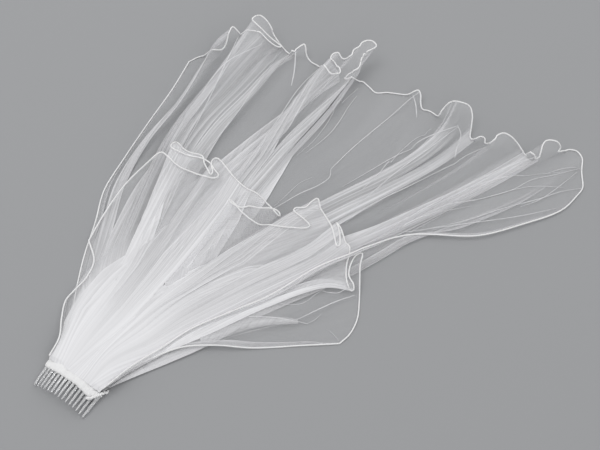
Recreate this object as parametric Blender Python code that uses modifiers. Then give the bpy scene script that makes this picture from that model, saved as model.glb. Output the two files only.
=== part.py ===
"""Two-tier gathered veil on a curved comb, laid out in a fan on a flat surface.

Everything is modelled round the middle of the comb: X runs along the comb, Y from the comb
towards the hems and Z up. main() then moves the finished pieces so that the origin is the
middle of the underside. The tables are in millimetres and MM turns them into metres.
"""
import math
from collections import namedtuple

import bmesh
import bpy
import numpy as np

MM = 0.001

# Comb
COMB_RADIUS = 80.0        # of the arch that follows the head
COMB_HALF = 44.0          # half of the comb's width, along the arch
SPINE_DEPTH = 4.0
SPINE_THICK = 3.0
TOOTH_COUNT = 15
TOOTH_SPREAD = 82.0       # between the middles of the end teeth
TOOTH_LENGTH = 29.0
TOOTH_END_EXTRA = 3.0     # more length at the ends than in the middle
TOOTH_ROOT = 3.7          # width where a tooth leaves the spine
TOOTH_OUTER = 3.0         # from an end tooth's middle to the comb's end
TOOTH_DROP = 2.0          # how far a tip curves down
TOOTH_THICK_SHARE = 0.6   # of the spine's thickness
TOOTH_PROFILE = ((0.3, 0.88), (0.65, 0.7), (0.92, 0.5), (1.0, 0.2))  # share of length, of root
EDGE_ROUND = 0.35
SMOOTH_ANGLE = 50.0       # edges sharper than this, in degrees, stay sharp

# Heading: the gathered band that is sewn round the spine
HEADING_HALF = 45.5
HEADING_UNDER = 3.1       # from the spine's middle to the band's underside, and to its top
HEADING_FRONT = 7.5       # from the spine's middle to the band's front face
HEADING_BACK = -5.5       # from the spine's middle to the slot that the teeth come out of
HEADING_LIP = 0.6         # how far the band's back rounds out past that slot
HEADING_SIDE = 2.45       # height of the band's corners over the spine's middle
HEADING_FACE = 1.4        # half of the height of its front face
HEADING_ROUND = 1.2       # depth of the rounding at that face
HEADING_FLAT = (-2.0, 2.6)  # where the band's flat top starts and ends
GATHERS = 46              # fine ridges along the band
GATHER_RISE = 0.35

# Cloth
CLOTH = 1.0               # wall
SEAM = 0.3                # gap where two pieces meet
GATHER_HALF = 43.0        # half of the gathered width where a tier leaves the band
GATHER_OUT = 8.2          # from the spine's middle to where a tier leaves the band
LONG_START = -1.3         # middle of the long tier's wall at the band, from the spine's middle
SHORT_START = 1.1         # middle of the short tier's wall at the band
DESCENT = 105.0           # run over which a tier comes down from the band
SETTLE = 4.0              # turns lower than this lie flat
GATHER_SHARE = 0.03       # of a fold's lift that is left at the band
LIFT_POWER = 1.8          # how late a fold rises on its way to the hem
LEAN_POWER = 2.8          # how late a fold starts to lean over
ROLL_START = 0.2          # share of the length where a rolled edge is at its full height
ROLL_FADE = 5.0           # how late it comes down again
SOFTEN = 3                # rounds of averaging over neighbouring points
CALM = 34.0               # run of hem over which the folds are averaged out
CELL = 4.0                # grid of the height map that the short tier lies on
WIDEN = 3                 # cells by which the map's heights are spread
BLUR = 2                  # rounds of averaging over the map
MARGIN = 15               # cells round the map
CLEARANCE = 1.1           # between the long tier and the short one above it

Turn = namedtuple("Turn", "across out lift")
Rib = namedtuple("Rib", "turn course")
Roll = namedtuple("Roll", "turn lift")

# Each row is one turn of the long tier's hem, from its left side to its right side.
LONG_HEM = [Turn(*row) for row in (
    (-158, 469, 0), (-142, 490, 3), (-128, 498, 2), (-130, 538, 30), (-109, 543, 3),
    (-81, 556, 2), (-65, 561, 7), (-87, 565, 22), (-110, 568, 32), (-101, 578, 38),
    (-71, 572, 26), (-41, 558, 2), (-33, 576, 17), (-14, 567, 4), (-2, 568, 2),
    (8, 580, 13), (16, 589, 21), (30, 579, 8), (42, 571, 3), (37, 590, 14),
    (38, 617, 29), (57, 619, 29), (60, 595, 14), (72, 579, 3), (91, 575, 0),
    (124, 596, 0), (140, 607, 14), (164, 590, 3), (186, 589, 1), (187, 606, 16),
    (198, 615, 28), (223, 609, 24), (242, 585, 3), (249, 587, 2), (254, 595, 14),
    (266, 588, 3), (272, 606, 20), (283, 610, 24), (303, 609, 15), (321, 606, 3),
    (332, 611, 3), (331, 625, 15), (336, 636, 23), (351, 637, 11), (361, 642, 3),
    (372, 652, 2), (382, 645, 2), (395, 624, 1), (406, 605, 0))]

# The same for the short tier.
SHORT_HEM = [Turn(*row) for row in (
    (-104, 166, 0), (-109, 205, 0), (-111, 245, 0), (-108, 285, 2), (-96, 321, 9),
    (-84, 321, 3),
    (-75, 324, 1), (-80, 337, 8), (-82, 346, 14), (-69, 347, 10), (-53, 346, 2),
    (-48, 352, 12), (-35, 344, 3), (-30, 344, 2), (-30, 358, 15), (-11, 354, 8),
    (9, 348, 1), (32, 344, 5), (51, 343, 11), (69, 338, 5), (77, 336, 1),
    (78, 344, 6), (87, 350, 11), (103, 346, 5), (114, 339, 0), (118, 350, 8),
    (116, 366, 16), (123, 379, 20), (138, 376, 16), (156, 368, 10), (173, 349, 2),
    (182, 341, 0), (188, 348, 10), (199, 343, 9), (208, 332, 3), (217, 340, 2),
    (230, 318, 0), (242, 296, 0), (254, 272, 0), (256, 250, 0), (253, 225, 0))]

# Courses of single folds and edges from the band to the hem, as (across, out) points.
# Between two of them the cloth runs from the one course to the other.
LONG_RIBS = [
    Rib(0, [(-52, 57), (-67, 85), (-97, 146), (-115, 194), (-134, 238), (-141, 292),
            (-147, 358), (-151, 418)]),
    Rib(8, [(-47, 204), (-71, 352), (-84, 461)]),
    Rib(20, [(-3, 116), (-5, 215), (-7, 357), (8, 481)]),
    Rib(32, []),
    Rib(44, [(53, 46), (98, 134), (131, 199), (187, 310)]),
    Rib(46, [(61, 46), (115, 134), (145, 199), (210, 310), (237, 367), (256, 410),
             (300, 478), (345, 550)]),
    Rib(48, [(65, 46), (89, 95), (105, 140), (122, 190), (142, 231), (174, 300), (226, 388),
             (273, 430), (324, 463), (366, 513), (399, 562)])]
SHORT_RIBS = [
    Rib(0, [(-52, 36), (-69, 64), (-81, 92), (-91, 125)]),
    Rib(14, [(-17, 116), (-26, 215)]),
    Rib(40, [(56, 58), (86, 108), (121, 135), (161, 159), (214, 200)])]

# Lift where the cloth rolls back over itself beside an edge.
LONG_ROLL = [Roll(44, 0.0), Roll(45, 0.8), Roll(46, 2.8), Roll(47, 5.6), Roll(48, 6.0)]
SHORT_ROLL = []

# Shares of the length where a tier has a row of points.
LONG_ROWS = (0.0, 0.05, 0.12, 0.21, 0.32, 0.44, 0.56, 0.67, 0.78, 0.89, 1.0)
SHORT_ROWS = (0.0, 0.08, 0.19, 0.32, 0.46, 0.60, 0.74, 0.87, 1.0)
STEPS_PER_TURN = 3
STEPS_PER_POINT = 6       # of a rib's course


def clear_scene():
    for obj in list(bpy.data.objects):
        bpy.data.objects.remove(obj, do_unlink=True)


def make_material(name, color, roughness, alpha=1.0):
    material = bpy.data.materials.new(name)
    material.use_nodes = True
    shader = material.node_tree.nodes["Principled BSDF"]
    shader.inputs["Base Color"].default_value = (*color, 1.0)
    shader.inputs["Roughness"].default_value = roughness
    shader.inputs["Metallic"].default_value = 0.0
    shader.inputs["Alpha"].default_value = alpha
    return material


def new_object(name, bm, material, collection):
    """Turn a bmesh whose points are in millimetres into an object of the veil."""
    bmesh.ops.scale(bm, vec=(MM, MM, MM), verts=bm.verts)
    mesh = bpy.data.meshes.new(name)
    bm.to_mesh(mesh)
    bm.free()
    mesh.shade_smooth()
    mesh.set_sharp_from_angle(angle=math.radians(SMOOTH_ANGLE))
    mesh.materials.append(material)
    obj = bpy.data.objects.new(name, mesh)
    collection.objects.link(obj)
    return obj


def arch_end_angle():
    return HEADING_HALF / COMB_RADIUS


def arch_height(angle):
    """Height of the spine's middle line over the floor; the band's ends just touch it."""
    lowest = HEADING_UNDER * math.cos(arch_end_angle())
    return COMB_RADIUS * (np.cos(angle) - math.cos(arch_end_angle())) + lowest


def on_arch(along, out, up):
    """Point of the arched comb from its place along the arch, out of it and above it."""
    angle = along / COMB_RADIUS
    return (math.sin(angle) * (COMB_RADIUS + up), out,
            arch_height(angle) + up * math.cos(angle))


def tooth_middles():
    pitch = TOOTH_SPREAD / (TOOTH_COUNT - 1)
    return [index * pitch - TOOTH_SPREAD / 2 for index in range(TOOTH_COUNT)]


def build_comb(material, collection):
    """Spine and teeth as one arched sheet, thickened with a thinner wall at the teeth."""
    bm = bmesh.new()
    spine_rows = (SPINE_DEPTH / 2, -SPINE_DEPTH / 2)
    middles = tooth_middles()
    previous = None
    tooth_verts = []
    for middle in middles:
        left = TOOTH_OUTER if middle == middles[0] else TOOTH_ROOT / 2
        right = TOOTH_OUTER if middle == middles[-1] else TOOTH_ROOT / 2
        sides = []
        for along in (middle - left, middle + right):
            sides.append([bm.verts.new(on_arch(along, out, 0)) for out in spine_rows])
        if previous:
            bm.faces.new((previous[0], previous[1], sides[0][1], sides[0][0]))
        bm.faces.new((sides[0][0], sides[0][1], sides[1][1], sides[1][0]))
        previous = sides[1]
        length = TOOTH_LENGTH + TOOTH_END_EXTRA * (middle / COMB_HALF) ** 2
        row = (sides[0][1], sides[1][1])
        for share, width in TOOTH_PROFILE:
            out = -SPINE_DEPTH / 2 - share * length
            drop = -TOOTH_DROP * share ** 2
            next_row = (bm.verts.new(on_arch(middle - left * width, out, drop)),
                        bm.verts.new(on_arch(middle + right * width, out, drop)))
            bm.faces.new((row[0], next_row[0], next_row[1], row[1]))
            tooth_verts.extend(next_row)
            row = next_row
    bm.verts.index_update()
    tooth_indices = [vert.index for vert in tooth_verts]
    spine_indices = [vert.index for vert in bm.verts if vert.index not in set(tooth_indices)]
    obj = new_object("comb", bm, material, collection)
    group = obj.vertex_groups.new(name="thickness")
    group.add(spine_indices, 1.0, "REPLACE")
    group.add(tooth_indices, TOOTH_THICK_SHARE, "REPLACE")
    solid = obj.modifiers.new("wall", "SOLIDIFY")
    solid.thickness = SPINE_THICK * MM
    solid.offset = 0.0
    solid.vertex_group = group.name
    bevel = obj.modifiers.new("edges", "BEVEL")
    bevel.width = EDGE_ROUND * MM
    bevel.segments = 1
    bevel.limit_method = "ANGLE"
    bevel.angle_limit = math.radians(SMOOTH_ANGLE)
    return obj


def heading_section(rise):
    """Outline of the band round the spine, open at the back where the teeth come out."""
    slot = SPINE_THICK / 2 + SEAM
    slot_end = SPINE_DEPTH / 2 + SEAM
    lip = HEADING_BACK - HEADING_LIP
    shoulder = HEADING_FRONT - HEADING_ROUND
    flat_back, flat_front = HEADING_FLAT
    return [(HEADING_BACK, -slot), (slot_end, -slot), (slot_end, slot), (HEADING_BACK, slot),
            (lip, HEADING_SIDE + rise), (flat_back, HEADING_UNDER + rise),
            (flat_front, HEADING_UNDER + rise), (shoulder, HEADING_SIDE + rise),
            (HEADING_FRONT, HEADING_FACE), (HEADING_FRONT, -HEADING_FACE),
            (shoulder, -HEADING_SIDE), (flat_front, -HEADING_UNDER),
            (flat_back, -HEADING_UNDER), (lip, -HEADING_SIDE)]


def build_heading(material, collection):
    """Gathered band: one section after the other along the arch, with a ridge each gather."""
    bm = bmesh.new()
    rings = []
    stations = 2 * GATHERS + 1
    for index in range(stations):
        along = HEADING_HALF * (2 * index / (stations - 1) - 1)
        rise = GATHER_RISE if index % 2 else 0.0
        rings.append([bm.verts.new(on_arch(along, out, up))
                      for out, up in heading_section(rise)])
    for ring, following in zip(rings, rings[1:]):
        for index in range(len(ring)):
            after = (index + 1) % len(ring)
            bm.faces.new((ring[index], ring[after], following[after], following[index]))
    bm.faces.new(rings[0])
    bm.faces.new(rings[-1])
    bmesh.ops.recalc_face_normals(bm, faces=bm.faces)
    return new_object("heading", bm, material, collection)


def smooth_path(points, steps):
    """Centripetal Catmull-Rom curve through the points, with steps from each to the next."""
    inner = np.array(points, float)
    ends = 2 * inner[0] - inner[1], 2 * inner[-1] - inner[-2]
    pts = np.vstack([ends[0], inner, ends[1]])
    path = []
    for p0, p1, p2, p3 in zip(pts, pts[1:], pts[2:], pts[3:]):
        t1 = np.linalg.norm(p1 - p0) ** 0.5
        t2 = t1 + np.linalg.norm(p2 - p1) ** 0.5
        t3 = t2 + np.linalg.norm(p3 - p2) ** 0.5
        for t in np.linspace(t1, t2, steps, endpoint=False):
            a1 = p0 + (p1 - p0) * t / t1
            a2 = p1 + (p2 - p1) * (t - t1) / (t2 - t1)
            a3 = p2 + (p3 - p2) * (t - t2) / (t3 - t2)
            b1 = a1 + (a2 - a1) * t / t2
            b2 = a2 + (a3 - a2) * (t - t1) / (t3 - t1)
            path.append(b1 + (b2 - b1) * (t - t1) / (t2 - t1))
    path.append(inner[-1])
    return np.array(path)


def run_along(path):
    """Length from the start of a path to each of its points."""
    return np.concatenate([[0.0], np.cumsum(np.linalg.norm(np.diff(path, axis=0), axis=1))])


def at_shares(path, shares):
    """Points at the given shares of a path's length."""
    run = run_along(path)
    return np.stack([np.interp(np.array(shares) * run[-1], run, column)
                     for column in path.T], axis=1)


def calm_line(plan, run):
    """The hem without its folds: a running average that keeps both ends."""
    weights = np.gradient(run)
    calm = []
    for place in run:
        reach = max(min(CALM, place / 2, (run[-1] - place) / 2), 1.0)
        near = weights * np.exp(-0.5 * ((run - place) / reach) ** 2)
        calm.append((plan * near[:, None]).sum(axis=0) / near.sum())
    return np.array(calm)


def ease(share):
    """Smooth step from 0 to 1."""
    share = np.clip(share, 0.0, 1.0)
    return share * share * (3 - 2 * share)


def blend_over_turns(columns, stops, values):
    """Value at each column from values that are given at a few turns, eased between."""
    result = np.zeros((len(columns),) + np.shape(values[0]))
    for index, column in enumerate(columns):
        after = np.searchsorted(stops, column, side="left")
        if after == 0 or after == len(stops):
            if column in stops:
                result[index] = values[stops.index(column)]
            continue
        span = stops[after] - stops[after - 1]
        share = ease((column - stops[after - 1]) / span)
        result[index] = (1 - share) * values[after - 1] + share * values[after]
    return result


def tier_points(hem, ribs, roll, rows, start, floor_height):
    """Points of the middle of a tier's wall, an array of rows by columns by (x, y, z).

    start is the wall's height at the band from the spine's middle, and
    floor_height gives the height of what the tier lies on at each x and y.
    """
    path = smooth_path(hem, STEPS_PER_TURN)
    run = run_along(path)
    columns = np.arange(len(path)) / STEPS_PER_TURN
    angle = (2 * run / run[-1] - 1) * GATHER_HALF / COMB_RADIUS
    gather = np.stack([COMB_RADIUS * np.sin(angle),
                       np.full(len(path), GATHER_OUT)], axis=1)
    plan = path[:, :2]
    calm = calm_line(plan, run)
    lift = np.maximum(path[:, 2] - SETTLE, 0.0)

    bows = []
    for rib in ribs:
        column = rib.turn * STEPS_PER_TURN
        ends = gather[column], plan[column]
        course = smooth_path([ends[0], *rib.course, ends[1]], STEPS_PER_POINT)
        straight = np.array([ends[0] + (ends[1] - ends[0]) * share for share in rows])
        bows.append(at_shares(course, rows) - straight if rib.course else 0 * straight)
    bow = blend_over_turns(columns, [rib.turn for rib in ribs], bows)
    rolled = np.zeros(len(path))
    if roll:
        rolled = blend_over_turns(columns, [step.turn for step in roll],
                                  [step.lift for step in roll])

    grid = []
    for index, share in enumerate(rows):
        place = gather + (calm - gather) * share + (plan - calm) * share ** LEAN_POWER
        place = place + bow[:, index]
        away = np.linalg.norm(place - gather, axis=1)
        band_height = arch_height(angle) + start * np.cos(angle)
        base = band_height * (1 - ease(away / DESCENT))
        base = np.maximum(base, floor_height(place) * ease(away / CELL) + CLOTH / 2)
        fold = lift * (GATHER_SHARE + (1 - GATHER_SHARE) * share ** LIFT_POWER)
        height = base + fold + rolled * ease(share / ROLL_START) * (1 - share ** ROLL_FADE)
        grid.append(soften(np.column_stack([place, height])))
    return np.array(grid)


def soften(line):
    """Round the bends of a row of points and keep its ends."""
    for _ in range(SOFTEN):
        line[1:-1] = (line[:-2] + 2 * line[1:-1] + line[2:]) / 4
    return line


def bare_floor(place):
    return np.zeros(len(place))


def height_map(grid):
    """Function that gives the height of the top of a tier, widened and softened."""
    row_steps, column_steps = 12, 5
    dense = []
    for row, following in zip(grid, grid[1:]):
        for share in np.linspace(0, 1, row_steps, endpoint=False):
            line = row + (following - row) * share
            for part in np.linspace(0, 1, column_steps, endpoint=False):
                dense.append(line[:-1] + (line[1:] - line[:-1]) * part)
    points = np.concatenate(dense)
    low = points[:, :2].min(axis=0) - MARGIN * CELL
    size = ((points[:, :2].max(axis=0) - low) / CELL).astype(int) + MARGIN + 1
    heights = np.zeros(size)
    cells = ((points[:, :2] - low) / CELL).astype(int)
    np.maximum.at(heights, (cells[:, 0], cells[:, 1]), points[:, 2] + CLOTH / 2 + CLEARANCE)
    shifts = [(x, y) for x in (-1, 0, 1) for y in (-1, 0, 1)]
    for _ in range(WIDEN):
        heights = np.max([np.roll(heights, shift, (0, 1)) for shift in shifts], axis=0)
    for _ in range(BLUR):
        heights = np.mean([np.roll(heights, shift, (0, 1)) for shift in shifts], axis=0)

    def height_at(place):
        where = (place - low) / CELL - 0.5
        corner = np.clip(where.astype(int), 0, np.array(size) - 2)
        part = where - corner
        x, y = corner.T
        near = heights[x, y] * (1 - part[:, 0]) + heights[x + 1, y] * part[:, 0]
        far = heights[x, y + 1] * (1 - part[:, 0]) + heights[x + 1, y + 1] * part[:, 0]
        return near * (1 - part[:, 1]) + far * part[:, 1]

    return height_at


def build_tier(name, grid, material, collection):
    """Sheet through a tier's points, thickened both ways."""
    bm = bmesh.new()
    verts = [[bm.verts.new(point) for point in row] for row in grid]
    for row, following in zip(verts, verts[1:]):
        for index in range(len(row) - 1):
            bm.faces.new((row[index], row[index + 1], following[index + 1], following[index]))
    obj = new_object(name, bm, material, collection)
    wall = obj.modifiers.new("wall", "SOLIDIFY")
    wall.thickness = CLOTH * MM
    wall.offset = 0.0
    return obj


def evaluated_bounds(collection):
    graph = bpy.context.evaluated_depsgraph_get()
    points = []
    for obj in collection.objects:
        mesh = obj.evaluated_get(graph).to_mesh()
        points.extend(obj.matrix_world @ vert.co for vert in mesh.vertices)
    return np.min(points, axis=0), np.max(points, axis=0)


def main():
    clear_scene()
    collection = bpy.data.collections.new("veil")
    bpy.context.scene.collection.children.link(collection)
    plastic = make_material("clear plastic", (0.86, 0.88, 0.9), 0.12, 0.45)
    band = make_material("gathered tulle", (0.93, 0.93, 0.94), 0.85)
    long_cloth = make_material("long tulle", (0.88, 0.88, 0.9), 0.8)
    short_cloth = make_material("short tulle", (0.94, 0.94, 0.95), 0.8)

    build_comb(plastic, collection)
    build_heading(band, collection)
    long_grid = tier_points(LONG_HEM, LONG_RIBS, LONG_ROLL, LONG_ROWS, LONG_START, bare_floor)
    short_grid = tier_points(SHORT_HEM, SHORT_RIBS, SHORT_ROLL, SHORT_ROWS, SHORT_START,
                             height_map(long_grid))
    build_tier("long_tier", long_grid, long_cloth, collection)
    build_tier("short_tier", short_grid, short_cloth, collection)

    low, high = evaluated_bounds(collection)
    for obj in collection.objects:
        obj.location = (-(low[0] + high[0]) / 2, -(low[1] + high[1]) / 2, -low[2])


main()
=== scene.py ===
"""Looks of a two-tier tulle veil on a curved comb, laid out in a fan on a pale floor.

Shapes are worked out in millimetres round the middle of the comb: X along the comb, Y from
the comb towards the hems, Z up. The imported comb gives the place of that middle.
"""

import logging
import math
from collections.abc import Callable, Sequence
from dataclasses import dataclass, field
from enum import Enum
from typing import NamedTuple

import bmesh
import bpy
import numpy as np
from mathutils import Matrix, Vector


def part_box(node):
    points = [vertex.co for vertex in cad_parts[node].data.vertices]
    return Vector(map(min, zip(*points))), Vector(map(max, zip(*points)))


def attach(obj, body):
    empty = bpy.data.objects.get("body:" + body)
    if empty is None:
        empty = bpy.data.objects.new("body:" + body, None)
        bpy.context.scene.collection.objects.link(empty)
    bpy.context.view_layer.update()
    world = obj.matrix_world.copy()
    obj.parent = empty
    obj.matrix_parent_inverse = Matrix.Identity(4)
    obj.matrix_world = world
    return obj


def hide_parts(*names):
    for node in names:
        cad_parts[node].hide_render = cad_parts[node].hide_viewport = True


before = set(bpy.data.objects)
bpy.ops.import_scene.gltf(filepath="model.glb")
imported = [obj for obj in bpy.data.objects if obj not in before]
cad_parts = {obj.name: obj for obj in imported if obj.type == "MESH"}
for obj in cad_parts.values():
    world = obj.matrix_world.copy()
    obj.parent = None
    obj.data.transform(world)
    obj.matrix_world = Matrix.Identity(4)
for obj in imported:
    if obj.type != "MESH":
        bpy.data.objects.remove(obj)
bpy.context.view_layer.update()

MM = 0.001
SOFT_WIDTH = 41
RELIEF = 0.25
BODY = "root"
log = logging.getLogger("veil")


class Turn(NamedTuple):
    """One turn of a hem, in millimetres from the comb's middle."""

    across: float
    out: float
    lift: float


class Bundle(NamedTuple):
    """Folds that run together from the band to the hem.

    The course ends near a point of the hem. Each side of it, left and right as seen from the
    comb, has a width in millimetres and a number of folds. The density is how many layers of
    net lie in each fold, and beyond is how many lie between this bundle and the next. The
    folds open out at the share of the length given as until. Near the band the density is
    at_band times as high.
    """

    near: tuple[float, float]
    left: tuple[float, int]
    right: tuple[float, int]
    density: float
    course: tuple[tuple[float, float], ...]
    beyond: float = 1.0
    until: float = 2.0
    at_band: float = 1.6

    def layers_at(self, share: float) -> float:
        """Return the layers in each fold at a share of the way from the band to the hem."""
        closed = 1 - ease((share - self.until) / 0.08)
        spread = self.at_band + (1 - self.at_band) * share
        return 1 + (self.density * spread - 1) * closed


class Roll(NamedTuple):
    """Lift of the cloth where it rolls back over itself, at a hem point."""

    near: tuple[float, float]
    lift: float


class Crease(NamedTuple):
    """A fold lying on the cloth, with the layers of net along its middle."""

    width: float
    course: tuple[tuple[float, float], ...]
    layers: float = 15.0


class Held(Enum):
    """How a piece of cloth is held."""

    GATHERED = "gathered"


LONG_HEM = tuple(Turn(*row) for row in (
    (-158, 469, 0), (-153, 480, 1), (-147, 488, 2), (-135, 493, 2), (-126, 503, 6),
    (-125, 513, 12), (-129, 529, 27), (-130, 539, 30), (-122, 540, 22), (-116, 541, 8),
    (-109, 544, 2), (-95, 553, 1), (-79, 554, 1), (-67, 557, 2), (-61, 562, 5),
    (-70, 561, 12), (-84, 559, 22), (-104, 559, 31), (-111, 561, 34), (-111, 566, 37),
    (-106, 572, 38), (-98, 573, 35), (-87, 571, 27), (-78, 567, 15), (-59, 562, 6),
    (-46, 560, 2), (-38, 560, 2), (-38, 564, 8), (-36, 571, 15), (-33, 577, 20),
    (-29, 575, 14), (-24, 570, 6), (-13, 566, 3), (0, 566, 2), (14, 561, 1),
    (30, 557, 1), (38, 561, 3), (33, 568, 7), (23, 574, 13), (13, 576, 18),
    (12, 584, 24), (17, 589, 26), (23, 587, 21), (31, 588, 18), (36, 594, 20),
    (34, 603, 26), (38, 611, 29), (38, 618, 32), (43, 625, 34), (51, 628, 33),
    (57, 626, 30), (55, 618, 22), (50, 607, 12), (51, 597, 7), (55, 584, 4),
    (50, 572, 2), (46, 560, 1), (54, 566, 3), (64, 579, 5), (76, 578, 3),
    (90, 575, 0), (103, 584, 1), (117, 591, 1), (129, 597, 3), (136, 604, 10),
    (140, 607, 14), (146, 604, 10), (152, 595, 6), (159, 589, 3), (167, 592, 3),
    (176, 592, 2), (184, 590, 1), (185, 596, 7), (187, 604, 18), (192, 611, 26),
    (203, 616, 28), (215, 619, 24), (224, 613, 18), (232, 599, 8), (238, 588, 3),
    (244, 587, 2), (250, 593, 12), (256, 595, 10), (261, 589, 4), (268, 588, 2),
    (271, 594, 8), (271, 602, 20), (276, 608, 26), (284, 610, 25), (299, 610, 15),
    (315, 606, 5), (326, 604, 2), (334, 607, 2), (333, 613, 8), (330, 623, 17),
    (331, 631, 25), (336, 635, 26), (344, 639, 22), (351, 638, 12), (351, 633, 6),
    (355, 640, 4), (361, 648, 4), (371, 652, 4), (382, 647, 3), (392, 628, 1),
    (405, 608, 0), (406, 600, 0)))

SHORT_HEM = tuple(Turn(*row) for row in (
    (-104, 166, 1), (-108, 194, 1), (-111, 228, 1), (-111, 262, 2), (-105, 297, 5),
    (-96, 322, 9), (-85, 321, 4), (-71, 319, 1), (-50, 323, 0), (-30, 327, 0),
    (-17, 333, 1), (-14, 340, 3), (-25, 344, 7), (-34, 348, 9), (-47, 348, 9),
    (-65, 341, 8), (-84, 334, 8), (-90, 335, 11), (-90, 340, 13), (-86, 344, 15),
    (-74, 344, 12), (-63, 347, 9), (-54, 351, 8), (-48, 351, 7), (-42, 345, 5),
    (-29, 337, 1), (-23, 334, 1), (-23, 339, 3), (-31, 347, 6), (-33, 354, 11),
    (-30, 358, 14), (-24, 359, 12), (-12, 356, 6), (3, 350, 1), (17, 346, 0),
    (30, 344, 3), (45, 344, 9), (58, 344, 6), (70, 342, 3), (84, 337, 1),
    (90, 336, 1), (85, 341, 4), (75, 340, 8), (60, 330, 9), (49, 324, 7),
    (42, 316, 6), (34, 313, 9), (27, 312, 13), (23, 314, 16), (31, 314, 12),
    (44, 311, 6), (59, 310, 2), (75, 311, 0), (95, 317, 0), (114, 328, 1),
    (129, 338, 2), (133, 344, 4), (121, 347, 8), (104, 348, 12), (104, 352, 14),
    (115, 360, 17), (118, 372, 20), (122, 379, 21), (132, 371, 16), (142, 367, 13),
    (155, 361, 9), (170, 348, 3), (179, 340, 1), (181, 343, 3), (176, 352, 7),
    (166, 363, 12), (160, 367, 14), (169, 364, 12), (186, 351, 9), (193, 349, 9),
    (198, 341, 6), (203, 327, 2), (214, 310, 1), (226, 301, 2), (229, 304, 4),
    (225, 310, 6), (214, 316, 5), (207, 331, 3), (206, 345, 2), (211, 353, 1),
    (218, 337, 0), (231, 316, 0), (243, 297, 0), (255, 273, 0), (258, 250, 0),
    (254, 232, 0)))

LONG_BUNDLES = (
    Bundle((-158, 469), (0, 0), (4, 1), 1.6, (
        (-52, 57), (-67, 85), (-80, 110), (-97, 146), (-115, 194), (-134, 238),
        (-141, 292), (-147, 358), (-151, 418))),
    Bundle((-129, 529), (7, 2), (6, 2), 4.2, (
        (-65, 110), (-83, 150), (-105, 200), (-126, 256), (-133, 326), (-128, 397),
        (-133, 468), (-136, 502)), beyond=1.2, at_band=0.2),
    Bundle((-111, 563), (7, 2), (11, 3), 3.8, (
        (-43, 67), (-54, 114), (-72, 181), (-95, 273), (-110, 357), (-108, 455),
        (-109, 510)), beyond=1.5, until=0.93, at_band=0.5),
    Bundle((-87, 571), (6, 2), (40, 3), 3.4, (
        (-36, 67), (-44, 107), (-59, 180), (-91, 300), (-105, 393), (-100, 476),
        (-95, 518)), beyond=1.2, until=0.93),
    Bundle((-38, 562), (12, 3), (10, 2), 5.4, (
        (-27, 64), (-32, 129), (-42, 219), (-56, 331), (-58, 409), (-51, 472), (-47, 536))),
    Bundle((24, 574), (26, 5), (30, 6), 5.2, (
        (-7, 57), (-9, 119), (-7, 195), (0, 265), (4, 367), (8, 449), (15, 535)), beyond=1.5),
    Bundle((51, 604), (24, 5), (14, 4), 6.0, (
        (4, 53), (16, 119), (26, 194), (34, 258), (42, 358), (45, 436), (51, 511))),
    Bundle((203, 616), (12, 3), (14, 3), 3.8, (
        (20, 50), (35, 115), (50, 184), (92, 309), (133, 393), (174, 468), (200, 525),
        (209, 575)), beyond=1.6, until=0.88),
    Bundle((239, 588), (14, 3), (10, 2), 6.5, (
        (27, 45), (44, 104), (61, 169), (110, 295), (154, 387), (189, 456), (222, 530))),
    Bundle((326, 604), (17, 4), (13, 5), 8.0, (
        (40, 34), (67, 95), (96, 154), (161, 284), (214, 374), (247, 435), (300, 543))),
    Bundle((361, 648), (5, 1), (4, 1), 1.3, (
        (53, 46), (98, 134), (131, 199), (187, 310), (250, 440), (313, 560)), at_band=2.6),
    Bundle((382, 647), (2, 1), (5, 1), 1.4, (
        (61, 46), (115, 134), (145, 199), (210, 310), (237, 367), (256, 410), (300, 478),
        (345, 550)), at_band=3.0),
    Bundle((406, 600), (3, 2), (0, 0), 1.6, (
        (53, 56), (68, 98), (84, 139), (113, 186), (142, 231), (174, 300), (200, 340),
        (226, 388), (250, 414), (273, 430), (324, 463), (366, 513), (399, 562))))
LONG_ROLLS = (Roll((361, 648), 0.0), Roll((371, 652), 0.8), Roll((382, 647), 2.4),
              Roll((392, 628), 4.6), Roll((406, 600), 5.2))
SHORT_BUNDLES = (
    Bundle((-104, 166), (0, 0), (3, 1), 1.5, (
        (-49, 33), (-66, 59), (-77, 81), (-76, 100), (-74, 121), (-80, 146))),
    Bundle((-74, 344), (22, 4), (14, 4), 6.5, (
        (-32, 58), (-36, 106), (-42, 157), (-51, 209), (-65, 290)), beyond=3.0),
    Bundle((-33, 354), (10, 3), (10, 3), 6.0, (
        (-21, 65), (-23, 118), (-24, 173), (-28, 240), (-31, 308)), beyond=2.5),
    Bundle((17, 346), (18, 5), (24, 5), 7.5, (
        (0, 61), (8, 119), (13, 168), (17, 240), (19, 301)), beyond=2.2),
    Bundle((119, 372), (8, 3), (22, 5), 7.0, (
        (12, 54), (20, 118), (32, 169), (66, 258), (102, 343)), beyond=5.0),
    Bundle((163, 366), (22, 5), (13, 4), 7.5, (
        (21, 47), (42, 106), (60, 159), (99, 240), (145, 315)), beyond=3.0),
    Bundle((189, 350), (11, 3), (11, 3), 7.0, (
        (31, 41), (56, 87), (78, 134), (126, 225), (173, 309)), beyond=3.0),
    Bundle((227, 302), (12, 3), (6, 2), 8.0, (
        (44, 38), (79, 100), (105, 142), (150, 221), (197, 285))),
    Bundle((254, 232), (4, 1), (0, 0), 1.5, (
        (56, 58), (86, 108), (121, 135), (161, 159), (214, 200))))

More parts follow.
